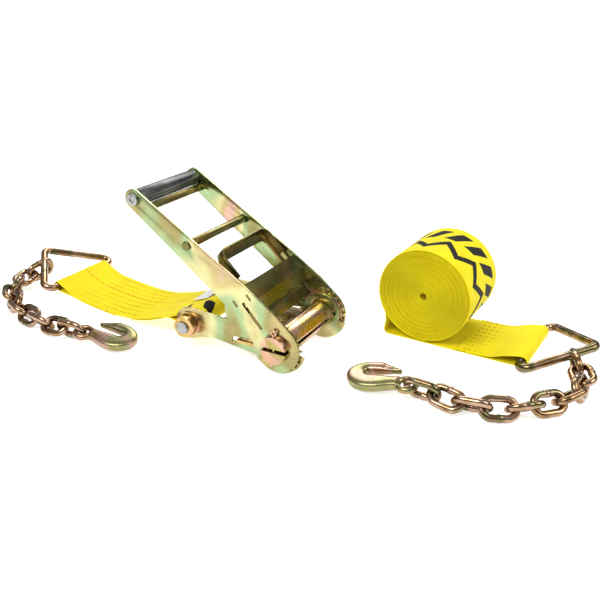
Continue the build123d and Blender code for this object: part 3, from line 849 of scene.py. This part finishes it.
def build_tag():
    """Tag sewn on the strap beside the bolt loop, its free corner lifted a little."""
    width, length, thick = 0.044, 0.024, 0.0004
    low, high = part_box("strap_label")
    middle = (low + high) / 2
    slope = math.radians(-20.5)      # of the strap where the tag lies
    out = (TO_BOLT * math.cos(slope) + UP * math.sin(slope)).normalized()
    normal = NEAR.cross(out).normalized()
    normal = normal if normal.z > 0 else -normal
    bm = bmesh.new()
    uv = bm.loops.layers.uv.new("cloth")
    grid = {}
    nu, nv = 18, 12
    for i in range(nu + 1):
        for j in range(nv + 1):
            a, b = i / nu, j / nv
            curl = 0.0022 * max(0.0, b - 0.35) ** 2 + 0.0016 * (1 - a) ** 2 * b
            flat = middle + NEAR * ((a - 0.5) * width) + out * ((b - 0.5) * length)
            grid[i, j] = bm.verts.new(flat + normal * (curl + thick))
    for i in range(nu):
        for j in range(nv):
            made = bm.faces.new((grid[i, j], grid[i + 1, j], grid[i + 1, j + 1], grid[i, j + 1]))
            for loop, (p, q) in zip(made.loops, ((i, j), (i + 1, j), (i + 1, j + 1), (i, j + 1))):
                loop[uv].uv = (p / nu * width, q / nv * length)
    tag = new_piece("strap_tag", mesh_from(bm, "strap_tag"), "short_strap", printed_tag(),
                    ["strap_label"])
    solid = tag.modifiers.new("thick", "SOLIDIFY")
    solid.thickness = thick
    solid.offset = 0
    bake_modifiers(tag)
    smooth_by_angle(tag.data, 40)


# ---------------------------------------------------------------- building everything
THREAD = cloth("thread", colour(206, 182, 22), colour(188, 160, 16))

PLATES = {
    "frame_plate_near": plate_zinc, "frame_plate_far": plate_zinc, "handle_plate_near": plate_zinc,
    "handle_plate_far": plate_zinc, "frame_tie_plate": spool_zinc, "lock_pawl": spool_zinc,
    "anchor_sleeve": spool_zinc, "spool_half_upper": spool_zinc, "spool_half_lower": spool_zinc,
    # Parts given shadow_zinc carry its painted shade, the near ratchet wheel among them
    "ratchet_wheel_near": shadow_zinc, "ratchet_wheel_far": spool_zinc, "brace_rod": shadow_zinc,
    "handle_cross_plate": shadow_zinc, "spring_seat": shadow_zinc, "drive_pawl": shadow_zinc,
    "pull_loop": shadow_zinc, "grip_bar": shadow_zinc, "anchor_nut_and_washer": spool_zinc,
    "anchor_bolt": bright_zinc, "grip_rod": bright_zinc, "cotter_pin_near": spool_zinc,
    "cotter_pin_far": spool_zinc, "grip_tube": grip_grey,
}
SPRINGS = {"drive_spring_near": "drive_pawl_pull", "drive_spring_far": "drive_pawl_pull",
           "lock_spring_near": "lock_pawl_pull", "lock_spring_far": "lock_pawl_pull"}


def place_spring(node, joint):
    """The coil as the CAD node has it; its end furthest along its pawl's pull is found but not moved."""
    coil = new_piece(node + "_coil", welded_copy(node, False), body_of_node(node), spring_steel,
                     [node])
    coil.data.shade_smooth()
    way = joint_axis(joint)
    co = np.array([v.co for v in NODES[node].data.vertices], float)
    end = Vector(co[(co @ np.array(way)).argmax()])
    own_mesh(coil)


for node, finish in PLATES.items():
    refined(node, finish)
for node, joint in SPRINGS.items():
    place_spring(node, joint)
for side in ("left", "right"):
    forged("hook_" + side, hook_zinc)
place_links()
place_rings()
build_long_strap()
build_short_strap()
build_tag()


# ---------------------------------------------------------------- floor, light and camera
FLOOR_GLOW = 0.62        # keeps the floor white far from the lamps
CAMERA_PLACE = Vector((0.0339, -0.8903, 0.4391))     # fitted to the photograph's view
CAMERA_AIM = Vector((0.0339, 0.0943, 0.0003))
CAMERA_LENS = 44.34


def build_stage():
    mesh = bpy.data.meshes.new("floor")
    size = 40.0
    mesh.from_pydata([(-size, -size, FLOOR_Z), (size, -size, FLOOR_Z), (size, size, FLOOR_Z),
                      (-size, size, FLOOR_Z)], [], [(0, 1, 2, 3)])
    floor = bpy.data.objects.new("floor", mesh)
    bpy.context.scene.collection.objects.link(floor)
    s = Shader("floor_white")
    s.set(Base_Color=colour(250, 250, 250), Roughness=0.9)
    s.set(Emission_Color=(1, 1, 1, 1), Emission_Strength=FLOOR_GLOW)
    mesh.materials.append(s.material)


def soft_box(name, place, target, width, height, power):
    data = bpy.data.lights.new(name, "AREA")
    data.shape = "RECTANGLE"
    data.size, data.size_y = width, height
    data.energy = power
    lamp = bpy.data.objects.new(name, data)
    lamp.location = place
    lamp.rotation_euler = (Vector(target) - Vector(place)).to_track_quat("-Z", "Y").to_euler()
    bpy.context.scene.collection.objects.link(lamp)


def build_light():
    world = bpy.data.worlds.new("studio")
    bpy.context.scene.world = world
    world.use_nodes = True
    tree = world.node_tree
    place = tree.nodes.new("ShaderNodeTexCoord")
    parts = tree.nodes.new("ShaderNodeSeparateXYZ")
    ramp = tree.nodes.new("ShaderNodeValToRGB")
    tree.links.new(place.outputs["Generated"], parts.inputs[0])
    tree.links.new(parts.outputs[2], ramp.inputs["Fac"])
    marks = ramp.color_ramp.elements
    marks.new(0.5)
    for mark, (height, grey) in zip(marks, ((0.06, 1.0), (0.16, 0.07), (0.75, 0.55))):
        mark.position, mark.color = height, (grey, grey, grey, 1)
    tree.links.new(ramp.outputs["Color"], tree.nodes["Background"].inputs[0])
    tree.nodes["Background"].inputs[1].default_value = 1.0
    soft_box("key", (-0.9, -1.1, 1.9), (0, 0, 0), 1.4, 1.0, 38)
    soft_box("fill", (1.5, -0.6, 1.3), (0, 0, 0), 1.0, 1.0, 16)
    soft_box("back", (0.3, 1.6, 1.5), (0, 0, 0), 1.8, 0.8, 26)


def build_camera():
    data = bpy.data.cameras.new("camera")
    data.sensor_width = 36.0
    data.lens = CAMERA_LENS
    camera = bpy.data.objects.new("camera", data)
    camera.location = CAMERA_PLACE
    camera.rotation_euler = (CAMERA_AIM - CAMERA_PLACE).to_track_quat("-Z", "Y").to_euler()
    bpy.context.scene.collection.objects.link(camera)
    bpy.context.scene.camera = camera


build_stage()
build_light()
build_camera()
bpy.context.scene.view_settings.view_transform = "Standard"
